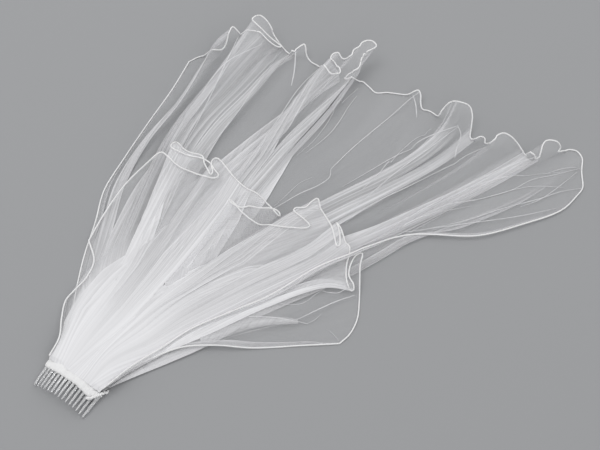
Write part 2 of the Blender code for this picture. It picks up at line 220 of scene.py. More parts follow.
LONG_CREASES = (
    Crease(1.6, ((143, 605), (130, 562), (120, 522), (111, 482), (107, 455), (106, 436))),
    Crease(1.3, ((106, 436), (111, 425), (105, 406), (91, 382), (81, 359), (72, 339))),
    Crease(1.2, ((71, 556), (71, 532), (73, 510), (73, 487), (69, 465), (62, 440))),
    Crease(1.0, ((66, 567), (61, 540), (59, 516), (61, 490), (60, 459), (54, 430))),
    Crease(1.0, ((90, 414), (81, 397), (76, 371), (72, 348))),
    Crease(1.2, ((189, 562), (178, 549), (169, 514), (167, 487), (166, 460), (160, 430))),
    Crease(1.6, ((138, 596), (147, 588), (154, 580), (160, 572))),
    Crease(1.2, ((388, 631), (364, 603), (342, 579), (327, 550), (289, 503), (254, 455),
                 (228, 400))),
    Crease(1.0, ((387, 623), (378, 591), (366, 558), (350, 534))),
    Crease(1.2, ((405, 606), (383, 584), (366, 560), (329, 515), (303, 479), (256, 426))),
    Crease(1.0, ((383, 630), (368, 617), (355, 600))),
    Crease(1.2, ((292, 497), (265, 464), (246, 438), (232, 414), (214, 380))),
    Crease(2.4, ((-36, 560), (-29, 548), (-22, 534), (-15, 518))),
    Crease(1.2, ((-82, 543), (-96, 507), (-104, 482), (-106, 457), (-104, 420))),
    Crease(1.4, ((218, 583), (195, 550), (170, 511), (150, 466), (132, 424))),
    Crease(1.2, ((219, 582), (204, 534), (187, 485), (172, 433), (158, 391))),
    Crease(1.8, ((217, 584), (228, 576), (232, 560), (238, 545))),
    Crease(1.0, ((368, 610), (326, 574), (290, 527), (254, 481), (235, 447))),
    Crease(1.2, ((391, 559), (356, 521), (316, 483), (276, 446), (236, 408))),
    Crease(1.0, ((383, 592), (345, 568), (307, 525), (271, 479))),
    Crease(1.2, ((-112, 528), (-107, 503), (-95, 438), (-86, 377), (-76, 318))),
    Crease(1.1, ((-60, 548), (-55, 493), (-50, 442), (-50, 394), (-52, 349))),
    Crease(1.2, ((9, 559), (2, 515), (5, 449), (7, 384), (9, 353))),
    Crease(1.1, ((56, 548), (44, 502), (34, 442), (29, 382))),
    Crease(1.6, ((332, 604), (301, 560), (270, 506), (241, 450), (219, 396))),
    Crease(1.2, ((267, 577), (239, 532), (209, 475), (180, 421), (166, 380))))
SHORT_CREASES = (
    Crease(1.5, ((136, 195), (151, 205), (166, 214), (181, 221), (193, 227), (205, 232))),
    Crease(14.0, ((103, 134), (116, 148), (131, 172), (148, 193), (168, 210), (193, 227)),
           6.0),
    Crease(1.0, ((119, 140), (131, 156), (145, 174), (163, 195), (180, 215), (193, 227)),
           5.0),
    Crease(1.5, ((190, 227), (200, 245), (208, 259), (216, 273), (226, 288), (234, 299))),
    Crease(1.0, ((203, 230), (209, 241), (212, 253)), 8.0),
    Crease(1.1, ((160, 233), (174, 241), (184, 250), (189, 261), (192, 271), (196, 278)),
           8.0),
    Crease(1.1, ((195, 278), (206, 283), (215, 289), (221, 299), (227, 304))),
    Crease(1.2, ((208, 204), (220, 213), (233, 219), (243, 222)), 6.0),
    Crease(1.2, ((230, 240), (241, 239), (252, 235)), 6.0))


@dataclass(frozen=True)
class Tulle:
    """Fine net: how much one layer hides, and how uneven its threads are.

    Attributes:
        cover: Share of the light that one layer stops.
        streak: How much the gathers change the cover from place to place.
        gathers: Broad gathers in a metre of cloth, which set the pattern of the painted shade.
        shade: How bright the cloth is painted deep in them, as painted shade in the gathers'
            hollows.
        net: Size of the net's holes, in metres.
    """

    name: str
    color: tuple[float, float, float] = (0.85, 0.85, 0.87)
    cover: float = 0.13
    streak: float = 0.3
    gathers: float = 34.0
    shade: float = 0.86
    net: float = 0.0013
    net_depth: float = 0.3

    def material(self) -> bpy.types.Material:
        """Return the net's material, whose alpha follows the 'layers' attribute, with painted
        shade deep in its broad gathers.
        """
        shader, nodes, links = new_shader(self.name)
        shader.inputs["Roughness"].default_value = 0.75
        shader.inputs["Specular IOR Level"].default_value = 0.25
        shader.inputs["Sheen Weight"].default_value = 0.25
        shader.inputs["Sheen Roughness"].default_value = 0.4

        cloth = nodes.new("ShaderNodeUVMap")
        cloth.uv_map = "cloth"
        layers = nodes.new("ShaderNodeAttribute")
        layers.attribute_name = "layers"

        lanes = nodes.new("ShaderNodeMapping")
        lanes.inputs["Scale"].default_value = (420.0, 9.0, 1.0)
        links.new(cloth.outputs["UV"], lanes.inputs["Vector"])
        noise = nodes.new("ShaderNodeTexNoise")
        noise.inputs["Scale"].default_value = 1.0
        noise.inputs["Detail"].default_value = 3.0
        links.new(lanes.outputs["Vector"], noise.inputs["Vector"])
        streaks = add_range(nodes, links, noise.outputs["Fac"], (0.3, 0.7),
                            (1 - self.streak, 1 + self.streak))

        # Painted shade: a broad noise makes the base colour darker deep in the gathers.
        broad = nodes.new("ShaderNodeMapping")
        broad.inputs["Scale"].default_value = (self.gathers, 1.6, 1.0)
        links.new(cloth.outputs["UV"], broad.inputs["Vector"])
        gathers = nodes.new("ShaderNodeTexNoise")
        gathers.inputs["Scale"].default_value = 1.0
        gathers.inputs["Detail"].default_value = 2.0
        links.new(broad.outputs["Vector"], gathers.inputs["Vector"])
        shade = nodes.new("ShaderNodeMix")
        shade.data_type = "RGBA"
        shade.inputs["A"].default_value = (*[c * self.shade for c in self.color], 1.0)
        shade.inputs["B"].default_value = (*self.color, 1.0)
        links.new(add_range(nodes, links, gathers.outputs["Fac"], (0.35, 0.6), (0.0, 1.0)),
                  shade.inputs["Factor"])
        links.new(shade.outputs["Result"], shader.inputs["Base Color"])

        cells = nodes.new("ShaderNodeTexVoronoi")
        cells.feature = "DISTANCE_TO_EDGE"
        cells.voronoi_dimensions = "2D"
        cells.inputs["Scale"].default_value = 1.0 / self.net
        cells.inputs["Randomness"].default_value = 0.25
        links.new(cloth.outputs["UV"], cells.inputs["Vector"])
        threads = add_range(nodes, links, cells.outputs["Distance"], (0.04, 0.3),
                            (1 + self.net_depth, 1 - self.net_depth))

        uneven = add_math(nodes, links, "MULTIPLY", streaks, threads)
        count = add_math(nodes, links, "MULTIPLY", layers.outputs["Fac"], uneven)
        clear = add_math(nodes, links, "POWER", 1 - self.cover, count)
        alpha = add_math(nodes, links, "SUBTRACT", 1.0, clear)
        links.new(alpha, shader.inputs["Alpha"])
        add_bump(nodes, links, shader, noise.outputs["Fac"], 0.12, 0.0005)
        return bpy.data.materials[self.name]


@dataclass(frozen=True)
class Cord:
    """White cord that the net's edge is stitched over."""

    name: str = "edge cord"
    color: tuple[float, float, float] = (0.96, 0.96, 0.965)

    def material(self) -> bpy.types.Material:
        """Return the cord's material: matt thread with a fine twist."""
        shader, nodes, links = new_shader(self.name)
        shader.inputs["Base Color"].default_value = (*self.color, 1.0)
        shader.inputs["Roughness"].default_value = 0.6
        shader.inputs["Sheen Weight"].default_value = 0.3
        place = nodes.new("ShaderNodeTexCoord")
        twist = nodes.new("ShaderNodeTexWave")
        twist.wave_type = "BANDS"
        twist.bands_direction = "DIAGONAL"
        twist.inputs["Scale"].default_value = 900.0
        twist.inputs["Distortion"].default_value = 2.0
        links.new(place.outputs["Object"], twist.inputs["Vector"])
        add_bump(nodes, links, shader, twist.outputs["Fac"], 0.5, 0.0003)
        return bpy.data.materials[self.name]


@dataclass(frozen=True)
class GatheredBand:
    """Dense white net, gathered so tightly that nothing shows through."""

    name: str = "gathered band"
    color: tuple[float, float, float] = (0.95, 0.95, 0.955)

    def material(self) -> bpy.types.Material:
        """Return the band's material: matt white with fine crosswise gathers and painted shade
        in their hollows.
        """
        shader, nodes, links = new_shader(self.name)
        shader.inputs["Roughness"].default_value = 0.8
        shader.inputs["Sheen Weight"].default_value = 0.3
        place = nodes.new("ShaderNodeTexCoord")
        lanes = nodes.new("ShaderNodeMapping")
        lanes.inputs["Scale"].default_value = (1400.0, 160.0, 300.0)
        links.new(place.outputs["Object"], lanes.inputs["Vector"])
        noise = nodes.new("ShaderNodeTexNoise")
        noise.inputs["Scale"].default_value = 1.0
        noise.inputs["Detail"].default_value = 3.0
        links.new(lanes.outputs["Vector"], noise.inputs["Vector"])
        # Painted shade: the colour is darker where the gathers' bump is low, in their hollows.
        shade = nodes.new("ShaderNodeMix")
        shade.data_type = "RGBA"
        shade.inputs["A"].default_value = (*[c * 0.93 for c in self.color], 1.0)
        shade.inputs["B"].default_value = (*self.color, 1.0)
        links.new(noise.outputs["Fac"], shade.inputs["Factor"])
        links.new(shade.outputs["Result"], shader.inputs["Base Color"])
        add_bump(nodes, links, shader, noise.outputs["Fac"], 0.3, 0.0006)
        return bpy.data.materials[self.name]


@dataclass(frozen=True)
class ClearPlastic:
    """Clear moulded plastic of the comb."""

    name: str = "clear comb plastic"

    def material(self) -> bpy.types.Material:
        """Return the comb's material: clear, glossy, with faint moulding haze."""
        shader, nodes, links = new_shader(self.name)
        shader.inputs["Base Color"].default_value = (0.97, 0.975, 0.985, 1.0)
        shader.inputs["Transmission Weight"].default_value = 0.6
        shader.inputs["IOR"].default_value = 1.49
        shader.inputs["Coat Weight"].default_value = 0.5
        shader.inputs["Coat Roughness"].default_value = 0.05
        place = nodes.new("ShaderNodeTexCoord")
        haze = nodes.new("ShaderNodeTexNoise")
        haze.inputs["Scale"].default_value = 90.0
        haze.inputs["Detail"].default_value = 3.0
        links.new(place.outputs["Object"], haze.inputs["Vector"])
        rough = add_range(nodes, links, haze.outputs["Fac"], (0.3, 0.7), (0.16, 0.22))
        links.new(rough, shader.inputs["Roughness"])
        return bpy.data.materials[self.name]


@dataclass(frozen=True)
class Floor:
    """Plain pale floor."""

    name: str = "pale floor"
    color: tuple[float, float, float] = (0.35, 0.355, 0.365)

    def material(self) -> bpy.types.Material:
        """Return the floor's plain matt material."""
        shader, _, _ = new_shader(self.name)
        shader.inputs["Base Color"].default_value = (*self.color, 1.0)
        shader.inputs["Roughness"].default_value = 0.9
        shader.inputs["Specular IOR Level"].default_value = 0.1
        return bpy.data.materials[self.name]


def new_shader(name: str) -> tuple:
    """Start a material and return its Principled shader, nodes and links.

    Args:
        name: The material's name.

    Returns:
        The shader node, the node collection and the link collection.
    """
    material = bpy.data.materials.new(name)
    material.use_nodes = True
    tree = material.node_tree
    return tree.nodes["Principled BSDF"], tree.nodes, tree.links


def add_math(nodes, links, operation: str, first, second):
    """Add a Math node and return its output.

    Args:
        nodes: The tree's nodes.
        links: The tree's links.
        operation: Name of the Math node's operation.
        first: A number or a socket.
        second: A number or a socket.

    Returns:
        The node's output socket.
    """
    node = nodes.new("ShaderNodeMath")
    node.operation = operation
    for socket, value in zip(node.inputs, (first, second)):
        if isinstance(value, (int, float)):
            socket.default_value = value
        else:
            links.new(value, socket)
    return node.outputs["Value"]


def add_range(nodes, links, value, source: tuple[float, float], target: tuple[float, float]):
    """Add a Map Range node from one span to another and return its output.

    Args:
        nodes: The tree's nodes.
        links: The tree's links.
        value: The socket that is mapped.
        source: Lowest and highest value that come in.
        target: The values that they become.

    Returns:
        The node's output socket.
    """
    node = nodes.new("ShaderNodeMapRange")
    node.inputs["From Min"].default_value = source[0]
    node.inputs["From Max"].default_value = source[1]
    node.inputs["To Min"].default_value = target[0]
    node.inputs["To Max"].default_value = target[1]
    links.new(value, node.inputs["Value"])
    return node.outputs["Result"]


def add_bump(nodes, links, shader, height, strength: float, distance: float) -> None:
    """Put a bump of the given height on a shader.

    Args:
        nodes: The tree's nodes.
        links: The tree's links.
        shader: The Principled shader.
        height: The socket that gives the height.
        strength: Strength of the bump.
        distance: Height of the relief in metres.
    """
    bump = nodes.new("ShaderNodeBump")
    bump.inputs["Strength"].default_value = strength
    bump.inputs["Distance"].default_value = distance
    links.new(height, bump.inputs["Height"])
    links.new(bump.outputs["Normal"], shader.inputs["Normal"])


def smooth_path(points: Sequence[Sequence[float]], steps: int) -> np.ndarray:
    """Centripetal Catmull-Rom curve through points.

    Args:
        points: The points that the curve passes.
        steps: Steps from each point to the next.

    Returns:
        The curve's points, one row each.
    """
    inner = np.array(points, float)
    pts = np.vstack([2 * inner[0] - inner[1], inner, 2 * inner[-1] - inner[-2]])
    path = []
    for p0, p1, p2, p3 in zip(pts, pts[1:], pts[2:], pts[3:]):
        t1 = np.linalg.norm(p1 - p0) ** 0.5
        t2 = t1 + np.linalg.norm(p2 - p1) ** 0.5
        t3 = t2 + np.linalg.norm(p3 - p2) ** 0.5
        for t in np.linspace(t1, t2, steps, endpoint=False):
            a1 = p0 + (p1 - p0) * t / t1
            a2 = p1 + (p2 - p1) * (t - t1) / (t2 - t1)
            a3 = p2 + (p3 - p2) * (t - t2) / (t3 - t2)
            b1 = a1 + (a2 - a1) * t / t2
            b2 = a2 + (a3 - a2) * (t - t1) / (t3 - t1)
            path.append(b1 + (b2 - b1) * (t - t1) / (t2 - t1))
    path.append(inner[-1])
    return np.array(path)


def run_along(path: np.ndarray) -> np.ndarray:
    """Return the length from a path's start to each of its points."""
    return np.concatenate([[0.0], np.cumsum(np.linalg.norm(np.diff(path, axis=0), axis=1))])


def at_shares(path: np.ndarray, shares: Sequence[float]) -> np.ndarray:
    """Return the points at the given shares of a path's length."""
    run = run_along(path)
    return np.stack([np.interp(np.array(shares) * run[-1], run, column)
                     for column in path.T], axis=1)


def ease(share):
    """Return a smooth step from 0 to 1."""
    share = np.clip(share, 0.0, 1.0)
    return share * share * (3 - 2 * share)


def drift(places: np.ndarray, wave: float, seed: int) -> np.ndarray:
    """Smooth seeded wander between about -1 and 1.

    Args:
        places: Where the wander is read.
        wave: Its longest wave.
        seed: Seed of its phases.

    Returns:
        The wander at each place.
    """
    random = np.random.RandomState(seed)
    total = np.zeros_like(places, dtype=float)
    for octave in (1.0, 1.7, 2.9, 4.3):
        phase = random.uniform(0, 2 * math.pi)
        total += np.sin(2 * math.pi * places * octave / wave + phase) / octave
    return total / 1.5


@dataclass(frozen=True)
class Arch:
    """The comb's arch and the band that covers its spine, in millimetres."""

    radius: float = 80.0
    half: float = 45.5
    under: float = 3.1
    front: float = 7.5

    def height(self, angle):
        """Return the height of the spine's middle line over the floor."""
        end = self.half / self.radius
        return self.radius * (np.cos(angle) - math.cos(end)) + self.under * math.cos(end)

    def point(self, along: float, out: float, up: float) -> tuple[float, float, float]:
        """Return the place of a point given along the arch, out of it and above it."""
        angle = along / self.radius
        return (math.sin(angle) * (self.radius + up), out,
                float(self.height(angle)) + up * math.cos(angle))


ARCH = Arch()


def comb_middle() -> np.ndarray:
    """Return the middle of the comb's spine on the floor, in metres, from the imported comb."""
    low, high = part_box("comb")
    return np.array([(low[0] + high[0]) / 2, high[1] - Comb.spine_depth / 2 * MM, 0.0])


def to_frame(points: np.ndarray) -> np.ndarray:
    """Return points in metres in the shared frame, from millimetres round the comb."""
    return np.asarray(points) * MM + comb_middle()


def dress(obj: bpy.types.Object, material: bpy.types.Material) -> None:
    """Give a piece its material, and let it ride on the body."""
    obj.data.materials.append(material)
    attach(obj, BODY)


def link_mesh(name: str, mesh: bpy.types.Mesh) -> bpy.types.Object:
    """Return a new object that shows a mesh, shaded smooth."""
    mesh.shade_smooth()
    obj = bpy.data.objects.new(name, mesh)
    bpy.context.scene.collection.objects.link(obj)
    return obj


def grid_faces(rows: int, columns: int) -> np.ndarray:
    """Return the corners of the quads of a grid of points."""
    first = (np.arange(rows - 1)[:, None] * columns + np.arange(columns - 1)).reshape(-1)
    return np.stack([first, first + 1, first + columns + 1, first + columns], axis=1)


def cloth_mesh(name: str, points: np.ndarray, layers: np.ndarray,
               cloth: np.ndarray) -> bpy.types.Object:
    """Make a sheet from a grid of points.

    Args:
        name: Name of the piece.
        points: Rows by columns by (x, y, z), in metres.
        layers: How many layers of net each point stands for.
        cloth: Rows by columns by (u, v), the place on the flat cloth in metres.

    Returns:
        The piece.
    """
    rows, columns = layers.shape
    faces = grid_faces(rows, columns)
    mesh = bpy.data.meshes.new(name)
    mesh.from_pydata(points.reshape(-1, 3).tolist(), [], faces.tolist())
    attribute = mesh.attributes.new("layers", "FLOAT", "POINT")
    attribute.data.foreach_set("value", layers.reshape(-1).astype(np.float32))
    uv = mesh.uv_layers.new(name="cloth")
    uv.data.foreach_set("uv", cloth.reshape(-1, 2)[faces.reshape(-1)].reshape(-1)
                        .astype(np.float32))
    obj = link_mesh(name, mesh)
    mesh.normals_split_custom_set(soft_normals(points, faces).tolist())
    return obj


def soft_normals(points: np.ndarray, faces: np.ndarray) -> np.ndarray:
    """Return a normal for each corner of a sheet's faces, softer than its small folds.

    Where the sheet turns back in a fold, plain smooth shading draws a dark line. So each
    corner takes the normal of the folds' running mean, on the side that its face shows.

    Args:
        points: Rows by columns by (x, y, z).
        faces: Four corners for each face, as places in the rows of points.

    Returns:
        One normal a corner, face by face.
    """
    calm = np.stack([[running_mean(line, SOFT_WIDTH) for line in axis]
                     for axis in np.moveaxis(points, 2, 0)], axis=2)
    normals = np.cross(np.gradient(calm, axis=1), np.gradient(calm, axis=0))
    normals *= np.where(normals[..., 2:] < 0, -1.0, 1.0)
    normals[..., 2] += 0.5 * np.median(normals[..., 2])
    normals /= np.linalg.norm(normals, axis=2, keepdims=True)
    corners = normals.reshape(-1, 3)[faces]
    places = points.reshape(-1, 3)[faces]
    own = np.cross(places[:, 2] - places[:, 0], places[:, 3] - places[:, 1])
    own /= np.maximum(np.linalg.norm(own, axis=1, keepdims=True), 1e-12)
    side = np.where(own[:, 2] < 0, -1.0, 1.0)[:, None, None]
    return ((1 - RELIEF) * side * corners + RELIEF * own[:, None]).reshape(-1, 3)


def cord_curve(name: str, points: np.ndarray, thickness: float) -> bpy.types.Object:
    """Make a round cord along points in metres and return it."""
    curve = bpy.data.curves.new(name, "CURVE")
    curve.dimensions = "3D"
    curve.bevel_depth = thickness / 2
    curve.bevel_resolution = 1
    curve.use_fill_caps = True
    spline = curve.splines.new("POLY")
    spline.points.add(len(points) - 1)
    spline.points.foreach_set("co", np.column_stack([points, np.ones(len(points))]).ravel())
    obj = bpy.data.objects.new(name, curve)
    bpy.context.scene.collection.objects.link(obj)
    return obj


@dataclass
class Comb:
    """Curved clear comb: spine and teeth, sizes in millimetres."""

    spine_depth: float = 4.0
    spine_thick: float = 3.0
    count: int = 15
    spread: float = 82.0
    length: float = 29.0
    end_extra: float = 3.0
    root: float = 3.7
    outer: float = 3.0
    drop: float = 2.0
    thick_share: float = 0.6
    half: float = 44.0
    profile: tuple[tuple[float, float], ...] = (
        (0.0, 1.0), (0.12, 0.94), (0.3, 0.86), (0.5, 0.77), (0.7, 0.67), (0.85, 0.58),
        (0.93, 0.5), (0.98, 0.34), (1.0, 0.14))

    def sheet(self) -> tuple[bmesh.types.BMesh, list[int]]:
        """Build the comb's middle surface.

        Returns:
            The surface, and the indices of the points that belong to the teeth.
        """
        bm = bmesh.new()
        pitch = self.spread / (self.count - 1)
        edge = self.spine_depth / 2
        previous = None
        teeth = []
        for index in range(self.count):
            middle = index * pitch - self.spread / 2
            left = self.outer if index == 0 else self.root / 2
            right = self.outer if index == self.count - 1 else self.root / 2
            sides = [[bm.verts.new(ARCH.point(along, out, 0)) for out in (edge, 0, -edge)]
                     for along in (middle - left, middle, middle + right)]
            strips = ([previous] if previous else []) + sides
            for one, other in zip(strips, strips[1:]):
                for row in range(2):
                    bm.faces.new((one[row], one[row + 1], other[row + 1], other[row]))
            previous = sides[-1]
            length = self.length + self.end_extra * (middle / self.half) ** 2
            row = [side[2] for side in sides]
            for share, width in self.profile[1:]:
                out = -edge - share * length
                sag = -self.drop * share ** 2
                spots = (middle - left * width, middle, middle + right * width)
                following = [bm.verts.new(ARCH.point(along, out, sag)) for along in spots]
                for side in range(2):
                    bm.faces.new((row[side], following[side], following[side + 1],
                                  row[side + 1]))
                teeth.extend(following)
                row = following
        bm.verts.index_update()
        return bm, [vert.index for vert in teeth]

    def build(self, finish: ClearPlastic) -> bpy.types.Object:
        """Thicken and round the comb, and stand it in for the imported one."""
        bm, teeth = self.sheet()
        for vert in bm.verts:
            vert.co = Vector(to_frame(vert.co))
        mesh = bpy.data.meshes.new("comb_clear")
        bm.to_mesh(mesh)
        bm.free()
        obj = link_mesh("comb_clear", mesh)
        group = obj.vertex_groups.new(name="thickness")
        group.add(range(len(mesh.vertices)), 1.0, "REPLACE")
        group.add(teeth, self.thick_share, "REPLACE")
        wall = obj.modifiers.new("wall", "SOLIDIFY")
        wall.thickness = self.spine_thick * MM
        wall.offset = 0.0
        wall.vertex_group = group.name
        bevel = obj.modifiers.new("edges", "BEVEL")
        bevel.width = 0.45 * MM
        bevel.segments = 3
        bevel.limit_method = "ANGLE"
        bevel.angle_limit = math.radians(40)
        dress(obj, finish.material())
        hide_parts("comb")
        return obj


@dataclass
class Heading:
    """The band that the gathered tops of both tiers make round the spine."""

    stations: int = 640
    gathers: float = 96.0
    rise: float = 0.32
    back: float = -6.0
    front: float = 8.2
    half_height: float = 2.7
    around: int = 28
    cut_from: float = 30.0
    cut_slope: float = 0.95
    sag: float = 4.2

    def section(self, along: float, share: float) -> list[tuple[float, float]]:
        """Return the band's outline at one place along the comb.

        Args:
            along: Place along the arch in millimetres.
            share: The same, from -1 to 1; not used.

        Returns:
            Points as (out, up) in millimetres, all round.
        """
        ridge = drift(np.array([along]), 2 * ARCH.half / self.gathers, 5)[0]
        slow = drift(np.array([along]), 31.0, 6)[0]
        lean = drift(np.array([along]), 9.0, 7)[0]
        points = []
        for index in range(self.around):
            turn = 2 * math.pi * index / self.around
            wide = math.copysign(abs(math.cos(turn)) ** 0.6, math.cos(turn))
            high = math.copysign(abs(math.sin(turn)) ** 0.7, math.sin(turn))
            back = min(self.back + self.cut_slope * max(along - self.cut_from, 0.0),
                       self.front - 3.0)
            out = (self.front + back) / 2 + (self.front - back) / 2 * wide
            up = self.half_height * high * (1 - 0.45 * max(wide, 0.0))
            top = max(high, 0.0)
            up += top * (self.rise * ridge + 0.3 * slow)
            out += 0.35 * lean * abs(wide) + 0.25 * ridge * wide
            points.append((out - self.sag * ease((along - 5) / 35), up))
        return points

    def build(self, finish: GatheredBand) -> bpy.types.Object:
        """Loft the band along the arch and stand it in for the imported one."""
        rings = []
        for index in range(self.stations):
            share = 2 * index / (self.stations - 1) - 1
            along = share * (ARCH.half - 0.2)
            close = 1 - 0.5 * ease((abs(share) - 0.975) / 0.025)
            ring = [ARCH.point(along, out * close + (1 - close), up * close)
                    for out, up in self.section(along, share)]
            rings.append(ring)
        points = to_frame(np.array(rings))
        wrapped = np.concatenate([points, points[:, :1]], axis=1)
        mesh = bpy.data.meshes.new("heading_band")
        rows, columns, _ = wrapped.shape
        faces = grid_faces(rows, columns).tolist()
        mesh.from_pydata(wrapped.reshape(-1, 3).tolist(), [], faces)
        bm = bmesh.new()
        bm.from_mesh(mesh)
        bmesh.ops.remove_doubles(bm, verts=bm.verts, dist=1e-6)
        bmesh.ops.holes_fill(bm, edges=[edge for edge in bm.edges if edge.is_boundary])
        bmesh.ops.recalc_face_normals(bm, faces=bm.faces)
        bm.to_mesh(mesh)
        bm.free()
        obj = link_mesh("heading_band", mesh)
        dress(obj, finish.material())
        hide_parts("heading")
        return obj


@dataclass
class CornerRuffle:
    """Turned-up, stitched corner of the tulle at the right end of the band."""

    thickness: float = 3.6
    waves: float = 8.0
    wave_height: float = 0.9
    over_band: float = 3.4
    steps: int = 16
    course: tuple[tuple[float, float], ...] = (
        (31.0, -11.4), (33.6, -10.0), (36.6, -4.8), (39.8, 1.0), (42.6, 6.6), (45.4, 13.0))

    def build(self, cord: bpy.types.Material) -> bpy.types.Object:
        """Run the ruffled edge over the band's end and down beside it."""
        path = smooth_path(self.course, self.steps)
        share = np.linspace(0, 1, len(path))
        angle = np.arcsin(np.clip(path[:, 0] / ARCH.radius, -1, 1))
        wave = self.wave_height * np.sin(2 * math.pi * self.waves * share)
        height = ARCH.height(angle) + self.over_band * (1 - ease((share - 0.7) / 0.3))
        height = np.maximum(height + 0.6 * np.abs(wave), self.thickness / 2 + 0.2)
        points = np.column_stack([path[:, 0] + 0.6 * wave, path[:, 1] - 0.6 * wave, height])
        obj = cord_curve("corner_ruffle", to_frame(points), self.thickness * MM)
        dress(obj, cord)
        return obj


@dataclass
class Sheet:
    """A tier's cloth as a grid of points.

    Attributes:
        points: Rows by columns by (x, y, z) in millimetres.
        layers: Layers of net that each point stands for.
        flat: Place of each point across the flat cloth, in millimetres.
    """

    points: np.ndarray
    layers: np.ndarray
    flat: np.ndarray


@dataclass
class Tier:
    """One panel of tulle from the band to its hem."""

    name: str
    node: str
    slot: str
    hem: tuple[Turn, ...]
    bundles: tuple[Bundle, ...]
    rolls: tuple[Roll, ...]
    start: float
    fine: int
    rows: int
    cut_width: float
    cut_length: float
    seed: int
    creases: tuple[Crease, ...] = ()
    gather_left: float = -44.5
    gather_right: float = 44.5
    gather_out: float = 7.8
    descent: float = 105.0
    settle: float = 4.0
    gather_share: float = 0.03
    lift_power: float = 1.8
    lean_power: float = 2.4
    roll_start: float = 0.2
    roll_fade: float = 5.0
    calm: float = 70.0
    over_floor: float = 0.5
    frill: float = 0.5
    most_layers: float = 4.2
    most_reach: float = 8.0
    fold_start: float = 120.0
    fold_run: float = 300.0
    fold_rise: float = 0.8
    fold_steps: int = 4
    window_step: float = 3.4
    tightness: float = 4.4
    dense_length: float = 320.0
    thin_left: float = 0.6
    thin_right: float = 0.0
    still_length: float = 330.0
    still_width: int = 121
    turn_glow: float = 1.3
    glow_run: float = 220.0
    relief_start: float = 120.0
    relief_run: float = 280.0
    calm_run: float = 200.0
    calm_width: int = 41
    mix_start: float = 60.0
    mix_run: float = 260.0
    mix_widths: tuple[int, int] = (81, 9)
    sheet: Sheet = field(default=None, repr=False)
    stops: list[int] = field(default_factory=list, repr=False)

    def shares(self) -> np.ndarray:
        """Return the shares of the length that have a row of points."""
        return np.linspace(0, 1, self.rows) ** 1.15

    def column_near(self, path: np.ndarray, near: tuple[float, float]) -> int:
        """Return the column whose hem point is nearest to a place."""
        return int(np.argmin(np.linalg.norm(path[:, :2] - np.array(near), axis=1)))

    def gather_line(self, even: np.ndarray) -> tuple[np.ndarray, np.ndarray]:
        """Return the gathers' places on the ground and their angles round the comb."""
        angle = (self.gather_left + (self.gather_right - self.gather_left) * even) / ARCH.radius
        gather = np.stack([(ARCH.radius + self.start) * np.sin(angle),
                           np.full(self.fine, self.gather_out)], axis=1)
        return gather, angle

    def calm_line(self, plan: np.ndarray, run: np.ndarray) -> np.ndarray:
        """Return the hem without its folds, a running average that keeps both ends."""
        calm = np.empty_like(plan)
        for index, place in enumerate(run):
            reach = max(min(self.calm, place / 2, (run[-1] - place) / 2), 1.0)
            near = np.exp(-0.5 * ((run - place) / reach) ** 2)
            calm[index] = (plan * near[:, None]).sum(axis=0) / near.sum()
        return calm

    def blend(self, stops: list[int], values: list) -> np.ndarray:
        """Return a value for each column from values at some columns, eased between."""
        result = np.zeros((self.fine,) + np.shape(values[0]))
        for first, last, one, other in zip(stops, stops[1:], values, values[1:]):
            span = np.arange(first, last + 1)
            share = ease((span - first) / max(last - first, 1))
            share = share.reshape((-1,) + (1,) * np.ndim(one))
            result[first:last + 1] = (1 - share) * one + share * other
        return result

    def form(self, floor_height: Callable[[np.ndarray], np.ndarray]) -> tuple:
        """Work out the tier's form with its hem's folds, before the fullness is laid in.

        Args:
            floor_height: Height of what the tier lies on, from plan points.

        Returns:
            Rows by columns by (x, y, z) in millimetres, and the bundles' columns.
        """
        even = np.linspace(0, 1, self.fine)
        path = at_shares(smooth_path(self.hem, 12), even)
        run = run_along(path)
        gather, angle = self.gather_line(even)
        plan = path[:, :2]
        calm = self.calm_line(plan, run)
        lift = np.maximum(path[:, 2] - self.settle, 0.0)
        shares = self.shares()
        leaned = shares[:, None] ** self.lean_power

        stops = [self.column_near(path, bundle.near) for bundle in self.bundles]
        log.info("%s: bundles at columns %s, hem %.0f mm", self.name, stops, run[-1])
        bows = []
        for bundle, column in zip(self.bundles, stops):
            plain = (gather[column] + (calm[column] - gather[column]) * shares[:, None]
                     + (plan[column] - calm[column]) * leaned)
            course = smooth_path([gather[column], *bundle.course, plan[column]], 10)
            bows.append(at_shares(course, shares) - plain)
        bow = self.blend(stops, bows)
        rolled = np.zeros(self.fine)
        if self.rolls:
            rolled = self.blend([self.column_near(path, roll.near) for roll in self.rolls],
                                [roll.lift for roll in self.rolls])

        lines = []
        for index, share in enumerate(shares):
            place = gather + (calm - gather) * share + (plan - calm) * leaned[index]
            place = place + bow[:, index]
            away = np.linalg.norm(place - gather, axis=1)
            band_height = ARCH.height(angle) + self.start * np.cos(angle)
            ground = band_height * (1 - ease(away / self.descent))
            ground = np.maximum(ground, floor_height(place) * ease(away / 4.0)
                                + self.over_floor)
            fold = lift * (self.gather_share
                           + (1 - self.gather_share) * share ** self.lift_power)
            roll = rolled * ease(share / self.roll_start) * (1 - share ** self.roll_fade)
            height = ground + fold + roll
            still = 1 - ease(share * self.cut_length / self.still_length)
            height += still * (running_mean(height, self.still_width) - height)
            height = np.maximum(height, floor_height(place) * ease(away / 4.0)
                                + self.over_floor)
            lines.append(np.column_stack([place, height]))
        return np.array(lines), stops

